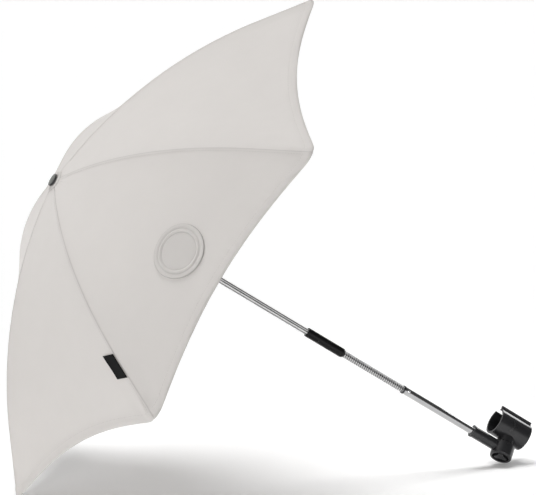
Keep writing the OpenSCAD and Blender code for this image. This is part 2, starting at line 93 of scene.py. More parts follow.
# Sizes of the dressing, in metres, with angles in degrees
LABEL_R = 0.2838
LABEL_LEN = 0.0372
LABEL_W = 0.020
LABEL_SKEW = 0.0047
LABEL_T = 0.0007
LABEL_IN = 0.0008
LABEL_PANEL = 5
BADGE_R = 0.0347
BADGE_AT = 0.2861
BADGE_SIDE = 0.0017
BADGE_T = 0.0017
BADGE_SLOPE = 31
BADGE_PANEL = 6
HOSE_CREST = 0.0045
HOSE_CORE = 0.0037
HOSE_PITCH = 0.003
HOSE_DARK_LINE_AT = -23
GROOVE_AT = 85.2
GROOVE_APART = 40
GROOVE_HALF_W = 7.5
GROOVE_DEPTH = 0.0003
FELL_W = 0.0052
HEM_STEP = 0.0135
HEM_BAND = 0.0122
HEM_BAND_SOFT = 0.0006
HEM_STITCH = 0.0115
STITCH_PITCH = 0.0034
STITCH_LEN = 0.0024
STITCH_R = 0.00027
STITCH_LIFT = 0.00012
SEAM_STITCH = 0.0036
SEAM_W = 0.0006


# Camera, matched to the photograph
def look():
    right = Vector((0.500388, 0.300636, -0.81193))
    down = Vector((-0.307161, -0.815137, -0.491125))
    into = Vector((-0.809484, 0.495146, -0.315541))
    place = Vector((3.74369, -2.24297, 1.86498))
    focal_px, width_px = 3618.97, 536
    data = bpy.data.cameras.new("camera")
    data.sensor_width = 36
    data.lens = focal_px / width_px * data.sensor_width
    data.clip_start, data.clip_end = 0.1, 60
    camera = bpy.data.objects.new("camera", data)
    turn = Matrix((right, -down, -into)).transposed().to_4x4()
    camera.matrix_world = Matrix.Translation(place) @ turn
    bpy.context.scene.collection.objects.link(camera)
    bpy.context.scene.camera = camera


look()


# Shader helpers
class Nodes:
    def __init__(self, holder):
        holder.use_nodes = True
        self.tree = holder.node_tree
        self.tree.nodes.clear()

    def node(self, kind, **settings):
        made = self.tree.nodes.new(kind)
        for key, value in settings.items():
            setattr(made, key, value)
        return made

    def link(self, a, output, b, socket):
        self.tree.links.new(a.outputs[output], b.inputs[socket])

    def join(self, socket, node, name):
        self.tree.links.new(socket, node.inputs[name])

    def ramp(self, value, low, high, a=0, b=1, **settings):
        made = self.node("ShaderNodeMapRange", **settings)
        for key, number in zip(("From Min", "From Max", "To Min", "To Max"), (low, high, a, b)):
            made.inputs[key].default_value = number
        self.join(value, made, "Value")
        return made.outputs[0]


class Shader(Nodes):
    def __init__(self, name):
        self.material = bpy.data.materials.new(name)
        super().__init__(self.material)
        self.out = self.node("ShaderNodeOutputMaterial")
        self.bsdf = self.node("ShaderNodeBsdfPrincipled")
        self.link(self.bsdf, 0, self.out, 0)

    def set(self, **values):
        for key, value in values.items():
            self.bsdf.inputs[key.replace("_", " ")].default_value = value

    def coords(self, scale, source="Object"):
        place = self.node("ShaderNodeTexCoord")
        mapping = self.node("ShaderNodeMapping")
        mapping.inputs["Scale"].default_value = scale
        self.link(place, source, mapping, "Vector")
        return mapping

    def noise(self, scale, detail, source="Object"):
        made = self.node("ShaderNodeTexNoise")
        made.inputs["Scale"].default_value = 1.0
        made.inputs["Detail"].default_value = detail
        made.inputs["Roughness"].default_value = 0.55
        self.link(self.coords(scale, source), 0, made, "Vector")
        return made.outputs[0]

    def mix(self, factor, a, b):
        made = self.node("ShaderNodeMix", data_type="RGBA")
        for slot, value in ((6, a), (7, b)):
            if isinstance(value, tuple):
                made.inputs[slot].default_value = (*value, 1)
            else:
                self.join(value, made, slot)
        self.join(factor, made, 0)
        return made.outputs[2]

    def math(self, kind, a, b):
        made = self.node("ShaderNodeMath", operation=kind)
        for slot, value in ((0, a), (1, b)):
            if isinstance(value, (int, float)):
                made.inputs[slot].default_value = value
            else:
                self.join(value, made, slot)
        return made.outputs[0]

    def bump(self, height, strength, distance, normal=None):
        made = self.node("ShaderNodeBump")
        made.inputs["Strength"].default_value = strength
        made.inputs["Distance"].default_value = distance
        self.join(height, made, "Height")
        if normal is not None:
            self.join(normal, made, "Normal")
        self.feed(made.outputs[0], "Normal")
        return made.outputs[0]

    def with_ring_shade(self, base, rings):
        """Paints shade: darkens a colour in plain rings round the origin of the surface's own
        coordinates.
        """
        place = self.node("ShaderNodeTexCoord")
        far = self.node("ShaderNodeVectorMath", operation="LENGTH")
        self.link(place, "UV", far, 0)
        shade = self.node("ShaderNodeValToRGB")
        self.join(self.math("DIVIDE", far.outputs["Value"], BADGE_R), shade, 0)
        stops = shade.color_ramp.elements
        stops[0].position, stops[1].position = rings[0][0], rings[-1][0]
        for where, _ in rings[1:-1]:
            stops.new(where)
        for stop, (_, level) in zip(stops, rings):
            stop.color = (level, level, level, 1)
        made = self.node("ShaderNodeMix", data_type="RGBA", blend_type="MULTIPLY")
        made.inputs[0].default_value = 1
        self.join(base, made, 6)
        self.link(shade, 0, made, 7)
        return made.outputs[2]

    def marked(self, name):
        return self.node("ShaderNodeAttribute", attribute_name=name).outputs["Fac"]

    def feed(self, socket, name):
        self.join(socket, self.bsdf, name)


def tint(colour, share):
    return tuple(c * share for c in colour)


def plastic(name, colour, rough=0.22, grain=2600.0, shine=0.5):
    """Moulded plastic with a fine grain, a little paler where its edges are rubbed."""
    edge, worn = 0.00035, 1.9
    s = Shader(name)
    s.set(Roughness=rough, Specular_IOR_Level=shine)
    fine = s.noise((grain,) * 3, detail=2)
    broad = s.noise((90,) * 3, detail=4)
    bevel = s.node("ShaderNodeBevel", samples=6)
    bevel.inputs["Radius"].default_value = edge
    plain = s.node("ShaderNodeNewGeometry")
    dot = s.node("ShaderNodeVectorMath", operation="DOT_PRODUCT")
    s.link(bevel, 0, dot, 0)
    s.link(plain, "Normal", dot, 1)
    edges = s.ramp(dot.outputs[1], 0.995, 0.8)
    rub = s.math("MULTIPLY", edges, s.ramp(broad, 0.35, 0.65, 0.25, 1))
    lighter = tuple(min(1, c * worn + 0.004) for c in colour)
    shade = s.mix(s.ramp(broad, 0.3, 0.7), colour, tint(colour, 0.82))
    s.feed(s.mix(rub, shade, lighter), "Base Color")
    s.feed(s.ramp(broad, 0.3, 0.7, rough - 0.05, rough + 0.06), "Roughness")
    s.bump(fine, 0.12, 0.00005, bevel.outputs[0])
    return s.material


def metal(name, colour, rough, brushed=(1400, 1400, 14), depth=0.06, groove_shade_colour=None, metallic=1.0):
    s = Shader(name)
    s.set(Metallic=metallic, Roughness=rough)
    lines = s.noise(brushed, detail=3)
    stain = s.noise((60, 60, 25), detail=4)
    base = s.mix(s.ramp(stain, 0.35, 0.7), colour, tint(colour, 0.9))
    # Painted shade: where the mark is high, the colour goes to the dark colour given for it and the
    # surface turns fully metallic, so these places show as dark lines of shade and reflection
    if groove_shade_colour:
        groove_and_shade = s.marked("groove_and_shade")
        base = s.mix(groove_and_shade, base, groove_shade_colour)
        s.feed(s.ramp(groove_and_shade, 0, 1, metallic, 1), "Metallic")
    s.feed(base, "Base Color")
    s.feed(s.ramp(stain, 0.3, 0.75, rough * 0.8, rough * 1.35), "Roughness")
    s.bump(lines, depth, 0.00003)
    return s.material


def weave_height(s, pitch):
    """Over and under of a plain weave, as the higher of two crossed waves."""
    waves = []
    for axis in ("X", "Y"):
        wave = s.node("ShaderNodeTexWave", bands_direction=axis)
        wave.inputs["Scale"].default_value = 1.0
        wave.inputs["Distortion"].default_value = 0.6
        wave.inputs["Detail Scale"].default_value = 1.2
        s.link(s.coords((0.314 / pitch,) * 3, "UV"), 0, wave, "Vector")
        waves.append(wave.outputs["Fac"])
    return s.math("MAXIMUM", s.math("MULTIPLY", waves[0], 0.9), waves[1])


def cloth(name, colour, pitch=0.0007, thin=0.12, rings=None, hem=0.0):
    s = Shader(name)
    s.set(Roughness=0.82, Specular_IOR_Level=0.28, Sheen_Weight=0.12, Sheen_Roughness=0.5)
    threads = weave_height(s, pitch)
    slubs = s.noise((220, 1800, 220), source="UV", detail=2)
    cloudy = s.noise((14, 14, 14), source="UV", detail=5)
    soft = s.mix(s.ramp(cloudy, 0.3, 0.7), colour, tint(colour, 0.965))
    lines = s.mix(s.ramp(slubs, 0.62, 0.8, 0, 0.5), soft, tint(colour, 0.9))
    base = s.mix(s.math("MULTIPLY", threads, 0.16), lines, tint(colour, 1.06))
    if hem:
        # Painted light: paler on the doubled hem band and the turned-under hem
        base = s.mix(s.math("MULTIPLY", s.marked("hem"), hem), base, (0.98, 0.95, 0.925))
        # Painted shade: darker along the seam valleys
        base = s.mix(s.math("MULTIPLY", s.marked("seam"), 0.45), base, tint(colour, 0.5))
    s.feed(s.with_ring_shade(base, rings) if rings else base, "Base Color")
    both = s.math("ADD", s.math("MULTIPLY", threads, 0.7), s.math("MULTIPLY", slubs, 0.5))
    normal = s.bump(both, 0.22, 0.00012)
    if thin:
        through = s.node("ShaderNodeBsdfTranslucent")
        through.inputs["Color"].default_value = (*colour, 1)
        s.join(normal, through, "Normal")
        mixed = s.node("ShaderNodeMixShader")
        mixed.inputs[0].default_value = thin
        s.link(s.bsdf, 0, mixed, 1)
        s.link(through, 0, mixed, 2)
        s.link(mixed, 0, s.out, 0)
    return s.material


def satin(name, colour):
    s = Shader(name)
    s.set(Roughness=0.6, Specular_IOR_Level=0.06)
    ribs = s.node("ShaderNodeTexWave", bands_direction="Y")
    ribs.inputs["Scale"].default_value = 1.0
    ribs.inputs["Distortion"].default_value = 0.8
    s.link(s.coords((500, 500, 500), "UV"), 0, ribs, "Vector")
    fuzz = s.noise((900, 900, 900), source="UV", detail=3)
    s.feed(s.mix(ribs.outputs["Fac"], colour, tint(colour, 1.9)), "Base Color")
    s.bump(s.math("ADD", ribs.outputs["Fac"], fuzz), 0.35, 0.0001)
    return s.material


def cap_finish(name, rim, face, level):
    """Moulded plastic that is black up to a height and mottled grey above it."""
    s = Shader(name)
    s.set(Roughness=0.4, Specular_IOR_Level=0.5)
    place = s.node("ShaderNodeTexCoord")
    split = s.node("ShaderNodeSeparateXYZ")
    s.link(place, "Object", split, 0)
    top = s.ramp(split.outputs[2], level - 0.0002, level + 0.0002)
    mottled = s.noise((500,) * 3, detail=4)
    pale = s.mix(mottled, tint(face, 0.8), tint(face, 1.2))
    s.feed(s.mix(top, rim, pale), "Base Color")
    s.feed(s.ramp(mottled, 0.3, 0.7, 0.34, 0.5), "Roughness")
    s.bump(s.noise((2400,) * 3, detail=2), 0.15, 0.00005)
    return s.material


CLOTH_GREY = (0.718, 0.689, 0.664)
BLACK = (0.024, 0.024, 0.026)
canopy_cloth = cloth("canopy_cloth", CLOTH_GREY, hem=0.12)
thread = cloth("sewing_thread", tint(CLOTH_GREY, 0.88), pitch=0.0002, thin=0)
# Painted shade on the badge: place of each ring as a share of the badge's radius, and how bright it
# is; the dark rings lie over its two grooves and its rim edge
BADGE_SHADE_RINGS = ((0, 1), (0.655, 1), (0.68, 0.84), (0.705, 1), (0.79, 1), (0.82, 0.88), (0.85, 1),
               (0.97, 1), (0.985, 0.72), (1, 0.6))
badge_cloth = cloth("badge_cloth", tint(CLOTH_GREY, 0.9), pitch=0.0005, thin=0, rings=BADGE_SHADE_RINGS)
label_cloth = satin("label_cloth", (0.004, 0.004, 0.0042))
black_plastic = plastic("black_plastic", BLACK)
dark_plastic = plastic("dark_plastic", (0.026, 0.026, 0.028), rough=0.5)
sleeve_rubber = plastic("sleeve_rubber", (0.007, 0.007, 0.0072), rough=0.3, grain=1500.0,
                        shine=0.22)
chrome = metal("chrome_tube", (0.53, 0.53, 0.535), 0.1)
shaft_metal = metal("shaft_metal", (0.86, 0.86, 0.865), 0.3, groove_shade_colour=(0.004, 0.004, 0.004),
                    metallic=0.2)
hose_metal = metal("hose_metal", (0.62, 0.62, 0.625), 0.24, brushed=(500, 500, 500),
                   groove_shade_colour=(0.03, 0.03, 0.03), metallic=0.4)
collar_metal = metal("collar_metal", (0.075, 0.075, 0.078), 0.3, brushed=(500, 500, 500))
steel = metal("rib_steel", (0.46, 0.47, 0.49), 0.3, brushed=(700, 700, 700), depth=0.1)
bright = metal("bright_steel", (0.86, 0.86, 0.87), 0.12, brushed=(600, 600, 600))
brass = metal("brass", (0.72, 0.53, 0.24), 0.28, brushed=(600, 600, 600))
CAP_FACE_AT = 0.7072
cap_plastic = cap_finish("cap_plastic", BLACK, (0.135, 0.142, 0.13), CAP_FACE_AT)

SLOTS = {
    "black_plastic": black_plastic, "dark_plastic": dark_plastic, "cap_plastic": cap_plastic,
    "neck_metal": collar_metal, "chrome_tube": chrome, "bright_steel": bright, "steel": steel,
    "brass": brass, "canopy_cloth": canopy_cloth, "label_cloth": label_cloth,
}


def dress(node, material):
    node.data.materials.clear()
    node.data.materials.append(material)


for row in frame["record"]["subparts"]:
    node = frame["nodes"][row["node"]]
    dress(node, SLOTS[row["material_slot"]])
for name, material in (("grip_sleeve", sleeve_rubber), ("tube_collar", collar_metal)):
    dress(frame["nodes"][name], material)


# Mesh helpers
def piece(name, points, faces, material, uv=None):
    mesh = bpy.data.meshes.new(name)
    mesh.from_pydata([tuple(p) for p in points], [], [tuple(f) for f in faces])
    mesh.polygons.foreach_set("use_smooth", [True] * len(mesh.polygons))
    if uv is not None:
        corners = np.zeros(len(mesh.loops), np.int32)
        mesh.loops.foreach_get("vertex_index", corners)
        layer = mesh.uv_layers.new(name="UVMap")
        layer.data.foreach_set("uv", np.asarray(uv, np.float32)[corners].ravel())
    mesh.materials.append(material)
    mesh.update()
    obj = bpy.data.objects.new(name, mesh)
    bpy.context.scene.collection.objects.link(obj)
    return obj


def mark(obj, name, values):
    """Stores one number a vertex for the material to read."""
    made = obj.data.attributes.new(name, "FLOAT", "POINT")
    made.data.foreach_set("value", np.asarray(values, np.float32).ravel())


def grid_faces(rows, columns, closed=False, flip=False, first=0, ring=False):
    """Quads over a grid; closed joins its last column to the first, and ring its last row."""
    faces = []
    for i in range(rows if ring else rows - 1):
        for j in range(columns if closed else columns - 1):
            row, below = i * columns, (i + 1) % rows * columns
            a, b = row + j, row + (j + 1) % columns
            c, d = below + (j + 1) % columns, below + j
            faces.append([first + x for x in ((a, d, c, b) if flip else (a, b, c, d))])
    return faces


def turned(points, degrees):
    a = math.radians(degrees)
    x, y, z = points[..., 0], points[..., 1], points[..., 2]
    return np.stack([x * math.cos(a) - y * math.sin(a), x * math.sin(a) + y * math.cos(a), z], -1)


def at_rib(points, k):
    return turned(points, TURN * (k - 1)) + MAST


def at_panel(points, k):
    return turned(points, TURN * (k - 1) + TURN / 2) + MAST


# Cover: the same curved surface as the CAD panels
def skin(r):
    arc = CENTRE[1] + np.sqrt(np.maximum(BEND_R ** 2 - (r - CENTRE[0]) ** 2, 0))
    return np.where(r < ARC_END[0], arc, ARC_END[1] - (r - ARC_END[0]) * math.tan(RIM_SLOPE))


def hem_radius(t):
    """Hem, with the corner at each rib's end cut blunt by a soft minimum of two lines."""
    soft, lean = 0.003, 0.155
    long = TIP_R + CORNER - (HEM_DIP + CORNER) * (1 - t * t)
    blunt = (TIP_R + BLUNT) / (1 - lean + lean * np.abs(t))
    gap = long - blunt
    return 0.5 * (long + blunt - np.sqrt(gap * gap + soft ** 2))


def run(r):
    """Length along the skin from the crown out to a radius."""
    arc = BEND_R * (np.arcsin((np.minimum(r, ARC_END[0]) - CENTRE[0]) / BEND_R) - CROWN_SLOPE)
    return arc + np.maximum(r - ARC_END[0], 0) / math.cos(RIM_SLOPE)


def surface(r, t):
    """Points of a panel at a rib radius and a place across it, from -1 to 1."""
    s = (r - PANEL_START) / (hem_radius(t) - PANEL_START)
    sag = SAG * (1 - t * t) * np.sin(np.radians(SAG_SPAN * s))
    x = r * HALF_COS - sag * np.sin(RIM_SLOPE * s)
    return np.stack([x, r * HALF_SIN * t, skin(r) - sag * np.cos(RIM_SLOPE * s)], -1)


def normals(r, t):
    step = 0.0004
    across = surface(r, t + step) - surface(r, t - step)
    along = surface(r + step, t) - surface(r - step, t)
    n = np.cross(along, across)
    return n / np.linalg.norm(n, axis=-1, keepdims=True)


def rumple(spots, scale):
    heights = [noise.noise(Vector(p) * scale) for p in spots.reshape(-1, 3)]
    return np.array(heights).reshape(spots.shape[:-1])


def creases(k, r, t):
    """Small folds, seams and stitching dimples, as a height over the smooth surface."""
    flat = np.stack([r * HALF_COS, r * HALF_SIN * t], -1)
    from_rib = r * HALF_COS * HALF_SIN * (1 - np.abs(t)) * 1.15
    from_hem = (hem_radius(t) - r) / math.cos(RIM_SLOPE)
    spot = turned(np.concatenate([flat, 0 * flat[..., :1]], -1), TURN * k)
    height = 0.0011 * rumple(spot, 11.0) * np.clip(from_rib / 0.05, 0, 1)
    height = height + 0.00022 * rumple(spot, 60.0) * np.clip(from_rib / 0.01, 0, 1)
    # A raised felled seam on one side of each rib, with a valley in the seam itself
    felled = np.clip((FELL_W - from_rib) / 0.001, 0, 1) * (t > 0)
    height = height + 0.00022 * felled - 0.0004 * np.exp(-(from_rib / SEAM_W) ** 2)
    # Pull lines that run in to the corners, and gathers round the crown
    pull = np.exp(-(from_rib / 0.03) ** 2) * np.clip((r - 0.26) / 0.1, 0, 1)
    height = height + 0.0006 * pull * np.sin(from_rib / 0.0042) * np.clip(from_rib / 0.008, 0, 1)
    angle = np.arctan2(flat[..., 1], flat[..., 0])
    gathers = np.sin(angle * 30 + 2.0 * np.sin(angle * 7 + k)) * np.exp(-((r - 0.02) / 0.022) ** 2)
    height = height + 0.0001 * gathers
    # The doubled hem with its row of stitches
    lateral = flat[..., 1]
    pucker = np.sin(lateral / 0.0105 * 2 * math.pi + 1.7 * np.sin(lateral * 90 + k))
    height = height + 0.00035 * np.clip((HEM_STEP - from_hem) / 0.001, 0, 1)
    height = height - 0.00035 * np.exp(-((from_hem - HEM_STITCH) / 0.0011) ** 2)
    return height + 0.00028 * pucker * np.exp(-((from_hem - 0.009) / 0.009) ** 2)


def on_cover(k, r, t, lift=0.0):
    points = surface(r, t) + normals(r, t) * (creases(k, r, t) + lift)[..., None]
    return at_panel(points, k)


def cover_normal(k, r, t):
    return turned(normals(r, t), TURN * (k - 1) + TURN / 2)


ROWS = 118
# Places of the columns close to a seam, in metres from it, and the number of even ones beyond
NEAR_SEAM = np.array([0, 0.5, 1.0, 1.6, 2.4, 3.3, 4.2, 4.8, 5.4, 6.5, 8, 10, 12.5]) * MM
MIDDLE = 40
HEM_TURN = 0.0009
# Rows of the hem's turned edge: how far back under the cloth, and the share of the turn below it
HEM_UNDER = ((-0.0004, 0.25), (-0.0005, 0.6), (0.0, 0.95), (0.004, 1.0), (0.0125, 1.0))
HALVES = [(k, side) for k in range(1, RIBS + 1) for side in (-1, 1)]


def rib_of(k, side):
    return k if side < 0 else k % RIBS + 1


def half_name(stem, side):
    return f"{stem}_{'a' if side < 0 else 'b'}"


def fold(obj):
    """Gives a piece its own copy of its mesh."""
    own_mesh(obj)


def half_grid():
    """Share of the way to the hem and place across, from the rib (1) to the midline (0)."""
    s = np.linspace(0, 1, ROWS) ** 0.92
    half = (PANEL_START + s * (TIP_R - HEM_DIP - PANEL_START)) * HALF_SIN
    shrink = np.minimum(1, half / 0.05)
    columns = []
    for j in range(len(NEAR_SEAM) + MIDDLE):
        if j < len(NEAR_SEAM):
            w = NEAR_SEAM[j] * shrink
        else:
            start = NEAR_SEAM[-1] * shrink
            w = start + (half - start) * (j - len(NEAR_SEAM) + 1) / MIDDLE
        columns.append(1 - w / half)
    return s[:, None] * np.ones(len(columns)), np.array(columns).T


def cover_half(k, side):
    s, t = half_grid()
    t = t * side
    r = PANEL_START + s * (hem_radius(t) - PANEL_START)
    hem = r[-1:]
    edge = cover_normal(k, hem, t[-1:])
    rows = [on_cover(k, r, t)]
    lengths = [run(r)]
    for back, drop in HEM_UNDER:
        under = hem - back * math.cos(RIM_SLOPE)
        rows.append(at_panel(surface(under, t[-1:]), k) - edge * HEM_TURN * drop)
        lengths.append(run(hem) + 0.0005 + max(back, 0))
    points = np.concatenate(rows).reshape(-1, 3)
    turned_under = len(HEM_UNDER)
    across = np.concatenate([r * HALF_SIN * t] + [hem * HALF_SIN * t[-1:]] * turned_under).ravel()
    uv = np.stack([across, np.concatenate(lengths).ravel()], -1)
    faces = grid_faces(ROWS + turned_under, t.shape[1], flip=side > 0)
    obj = piece(half_name(f"cover_{k}", side), points, faces, canopy_cloth, uv)
    # Painted light: the hem band and the turned-under rows are marked to be painted paler
    from_hem = (hem_radius(t) - r) / math.cos(RIM_SLOPE)
    band = np.clip((HEM_BAND - from_hem) / HEM_BAND_SOFT, 0, 1)
    mark(obj, "hem", np.concatenate([band.ravel(), np.ones(turned_under * t.shape[1])]))
    # Painted shade along the seam valley beside each rib
    seam = np.exp(-(r * HALF_SIN * (1 - np.abs(t)) / SEAM_W) ** 2)
    mark(obj, "seam", np.concatenate([seam.ravel(), np.zeros(turned_under * t.shape[1])]))
    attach(obj, f"rib_{rib_of(k, side)}")
    fold(obj)
    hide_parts(f"panel_{k}")
    return obj


# One stitch is a small spindle of thread; rows of them are placed along a line on the cloth
def stitch_row(points, tangents, ups):
    around = 6
    rings = ((-0.5, 0.15), (-0.36, 0.8), (0, 1.0), (0.36, 0.8), (0.5, 0.15))
    verts, faces = [], []
    for p, along, up in zip(points, tangents, ups):
        along = along / np.linalg.norm(along)
        side = np.cross(up, along)
        first = len(verts)
        for place, fat in rings:
            for i in range(around):
                a = 2 * math.pi * i / around
                round_it = side * math.cos(a) + up * math.sin(a) * 0.8
                verts.append(p + along * place * STITCH_LEN + round_it * STITCH_R * fat)
        faces += grid_faces(len(rings), around, closed=True, first=first)
    return verts, faces


def stitches(k, side):
    verts, faces = [], []

    def add(r, t):
        here = on_cover(k, r, t, STITCH_LIFT)
        ahead = np.roll(here, -1, axis=0) - here
        ahead[-1] = ahead[-2]
        more, shapes = stitch_row(here, ahead, cover_normal(k, r, t))
        faces.extend([[len(verts) + i for i in f] for f in shapes])
        verts.extend(more)

    half, short = TIP_R * HALF_SIN, 0.004
    t = np.arange(STITCH_PITCH / 2, half - short, STITCH_PITCH) / half * side
    add(hem_radius(t) - HEM_STITCH * math.cos(RIM_SLOPE), t)
    if side > 0:
        first, last, closer = 0.034, TIP_R - 0.006, 0.85
        r = np.arange(first, last, STITCH_PITCH * closer)
        add(r, 1 - SEAM_STITCH / (r * HALF_SIN))
    uv = [(v[0], v[1]) for v in verts]
    obj = piece(half_name(f"stitching_{k}", side), verts, faces, thread, uv)
    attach(obj, f"rib_{rib_of(k, side)}")
    fold(obj)
    return obj


for k, side in HALVES:
    cover_half(k, side)
for k, side in HALVES:
    sewn = stitches(k, side)


# Pockets: the cloth cups under the cover's corners that hold the ribs' tips
def pocket(k):
    mouth, close, end = TIP_R - 0.026, TIP_R - 0.0006, TIP_R + 0.0005
    deep, flat_half = 0.0054, 0.0021
    straight, curved, columns = 20, 8, 29
    bend = np.linspace(0.2, 1, curved) * math.pi / 2
    nose = close + (end - close) * np.sin(bend)
    feet = np.concatenate([np.linspace(mouth, close, straight), nose])
    depth = np.concatenate([np.full(straight, deep), deep * np.cos(bend) ** 0.8])
    wide = np.linspace(0.0072, 0.0060, len(feet))
    v = np.linspace(-1, 1, columns)[None, :]
    y = wide[:, None] * v
    side = np.abs(y) * 0.355 + 0.0009
    rest = np.clip((np.abs(y) - flat_half) / (wide[:, None] - flat_half), 0, 1)
    rest = rest * rest * (3 - 2 * rest)
    under = side + np.maximum(depth[:, None] - side, 0) * (1 - rest)
    foot = feet[:, None] + 0 * v
    slope_in, slope_up = math.sin(RIM_SLOPE), math.cos(RIM_SLOPE)
    points = np.stack([foot - slope_in * under, y, skin(foot) - slope_up * under], -1)
    over_nose = run(feet[straight - 1]) + np.linspace(0.0008, 0.005, curved)
    length = np.concatenate([run(feet[:straight]), over_nose])[:, None] + 0 * v
    uv = np.stack([y.ravel(), length.ravel()], -1)
    points = at_rib(points, k).reshape(-1, 3)
    faces = grid_faces(len(feet), columns, flip=True)
    obj = piece(f"corner_pocket_{k}", points, faces, canopy_cloth, uv)
    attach(obj, f"rib_{k}")


for k in range(1, RIBS + 1):
    pocket(k)


# Badge: a moulded round patch with plain rings, in two halves that meet at the panel's midline
def badge_height(d):
    height = BADGE_T * np.clip((BADGE_R - d) / 0.0007, 0, 1) ** 0.5
    for place, wide, rise in ((0.0286, 0.0013, -0.0008), (0.0262, 0.0013, 0.0004),
                              (0.0237, 0.0011, -0.0009)):
        height = height + rise * np.exp(-((d - place) / wide) ** 2)
    return height - 0.0005 * np.clip((0.0233 - d) / 0.001, 0, 1)


def badge_half(side):
    rings, around = 64, 72
    lift, tuck = 0.0001, 0.0006
    d = np.linspace(0.0002, BADGE_R, rings)[:, None] * np.ones(around)
    a = np.linspace(-math.pi / 2, math.pi / 2, around)[None, :] * np.ones((rings, 1))
    down_slope = math.cos(math.radians(BADGE_SLOPE))
    out = d * np.cos(a) * side
    r = BADGE_AT + d * np.sin(a) * down_slope
    t = (out + BADGE_SIDE) / (r * HALF_SIN)
    up = cover_normal(BADGE_PANEL, r, t)
    points = on_cover(BADGE_PANEL, r, t) + up * (badge_height(d) + lift)[..., None]
    points[-1] -= up[-1] * tuck
    uv = np.stack([out.ravel(), (d * np.sin(a)).ravel()], -1)
    faces = grid_faces(rings, around, flip=side < 0)
    points = points.reshape(-1, 3)
    obj = piece(half_name("badge", side), points, faces, badge_cloth, uv)
    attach(obj, f"rib_{rib_of(BADGE_PANEL, side)}")
    fold(obj)


badge_half(-1)
badge_half(1)


# Label: a black woven tab, folded double and sewn into the seam
def label():
    along, across, turn = 34, 12, 5
    u = np.linspace(0, 1, along)[:, None]
    w = np.linspace(0.0002, LABEL_W, across)[None, :]
    r = LABEL_R + (u * LABEL_LEN - w / LABEL_W * LABEL_SKEW) * math.cos(RIM_SLOPE)
    t = 1 - (LABEL_IN + w) / (r * HALF_SIN)
    curl = 0.0011 * (w / LABEL_W) ** 2 + 0.0004 * np.sin(u * 5 + 1) * (w / LABEL_W)
    up = cover_normal(LABEL_PANEL, r, t)
    low = on_cover(LABEL_PANEL, r, t) + up * (LABEL_T + curl)[..., None]
    high = low + up * LABEL_T
    out = low[:, -1] - low[:, -2]
    out /= np.linalg.norm(out, axis=-1, keepdims=True)
    rim = []
    for i in range(1, turn):
        a = math.pi * i / turn
        bulge = out * math.sin(a) - up[:, -1] * (1 - math.cos(a))
        rim.append(high[:, -1] + bulge * LABEL_T / 2)
    loop = np.concatenate([high, np.stack(rim, 1), low[:, ::-1]], 1)
    columns = loop.shape[1]
    uv = np.stack([(u * LABEL_LEN + np.zeros(columns)).ravel(),
                   (np.linspace(0, 2 * LABEL_W, columns)[None, :] + 0 * u).ravel()], -1)
    faces = grid_faces(along, columns)
    obj = piece("label", loop.reshape(-1, 3), faces, label_cloth, uv)
    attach(obj, "rib_6")
    fold(obj)
    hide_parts("label_tab")


label()


# Rosette: the round patch over the panels' points, under the cap
def rosette():
    rings, around = 14, 96
    hole, thick, clear, rounding = 0.0033, 0.0006, 0.00028, 0.00025
    d = np.linspace(hole, ROSETTE_R, rings)[:, None]
    a = np.linspace(0, 2 * math.pi, around, endpoint=False)[None, :]
    pleat = 0.00006 * np.sin(a * 24 + np.sin(a * 5)) * (d / ROSETTE_R)
    z = skin(d) + thick + pleat
    edge = np.minimum(1, (ROSETTE_R - d) / 0.0008)
    top = np.stack([d * np.cos(a), d * np.sin(a), z - rounding * (1 - edge)], -1)
    low = np.stack([d * np.cos(a), d * np.sin(a), skin(d) + clear + 0 * a], -1)
    points = (np.concatenate([top, low[::-1]]) + MAST).reshape(-1, 3)
    faces = grid_faces(2 * rings, around, closed=True, ring=True)
    obj = piece("rosette", points, faces, canopy_cloth, points[:, :2])
    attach(obj, "mast")
    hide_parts("crown_rosette")


rosette()


# Neck: wound metal hose, one length across each bend
def hose(name, low, high, nodes):
    around, per_turn = 40, 12
    rows = int(round((high - low) / HOSE_PITCH * per_turn))
    z = np.linspace(low, high, rows + 1)[:, None]
    a = np.linspace(0, 2 * math.pi, around, endpoint=False)[None, :]
    turn = (z / HOSE_PITCH - a / (2 * math.pi)) % 1.0
    ridge = np.clip(np.sin(math.pi * turn), 0, 1) ** 0.7
    r = HOSE_CORE + (HOSE_CREST - HOSE_CORE) * ridge
    points = np.stack([r * np.cos(a), r * np.sin(a), z + 0 * a], -1) + MAST
    faces = grid_faces(rows + 1, around, closed=True)
    obj = piece(name, points.reshape(-1, 3), faces, hose_metal)
    # Painted shade: the valleys between the strip's turns and a line along one side of the hose are
    # marked to be painted dark
    dark_line = np.exp(-((np.degrees(a) - HOSE_DARK_LINE_AT + 180) % 360 - 180) ** 2 / 90)
    mark(obj, "groove_and_shade", np.clip(1.6 - 2.2 * ridge + 1.5 * dark_line, 0, 1))
    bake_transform(obj)
    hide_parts(*nodes)


NECK_BODIES = ["arm", "neck_low", "neck_mid", "neck_high", "mast"]
bends = len(NECK_BODIES) - 1
cuts = [HOSE_FOOT + (SLEEVE_FOOT - HOSE_FOOT) * i / bends for i in range(bends)] + [SLEEVE_FOOT]
for i in range(bends):
    nodes = ["hose_1", "hose_2"] if i == 0 else [f"hose_{i + 2}"]
    hose(f"neck_hose_{i + 1}", cuts[i], cuts[i + 1], nodes)


